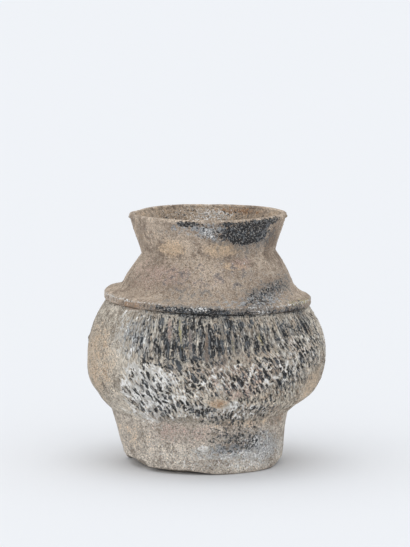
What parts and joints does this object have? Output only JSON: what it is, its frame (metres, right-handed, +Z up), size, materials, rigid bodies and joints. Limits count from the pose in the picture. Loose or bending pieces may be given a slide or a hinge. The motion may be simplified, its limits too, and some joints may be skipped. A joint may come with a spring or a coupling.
{
  "type": "pottery jar",
  "caption": "Hand-built earthenware jar with a flared neck, a shoulder ledge, a low round belly with cord marks and a thick tapering foot.",
  "frame": {"origin": "centre of the bounding box at the height of the ground, under the middle of the belly", "axes": "+Z up through the mouth, the worn heel and the front face -Y, +X to the right"},
  "size_m": [0.1518, 0.1522, 0.1602],
  "materials": {
    "foot_clay": "unglazed low-fired earthenware, coarse, with brown specks and a grey crust",
    "cord_marked_clay": "unglazed earthenware beaten with a corded paddle, sooted, with white lime in the marks",
    "smoothed_clay": "unglazed earthenware wiped smooth by hand, matt, with black fire clouds"
  },
  "bodies": {
    "root": {"floor_disc": "foot_clay", "foot_wall": "foot_clay", "lower_belly": "cord_marked_clay", "upper_belly": "cord_marked_clay", "shoulder_ledge": "smoothed_clay", "shoulder_cone": "smoothed_clay", "neck_collar": "smoothed_clay", "rim_lip": "smoothed_clay"}
  },
  "joints": []
}
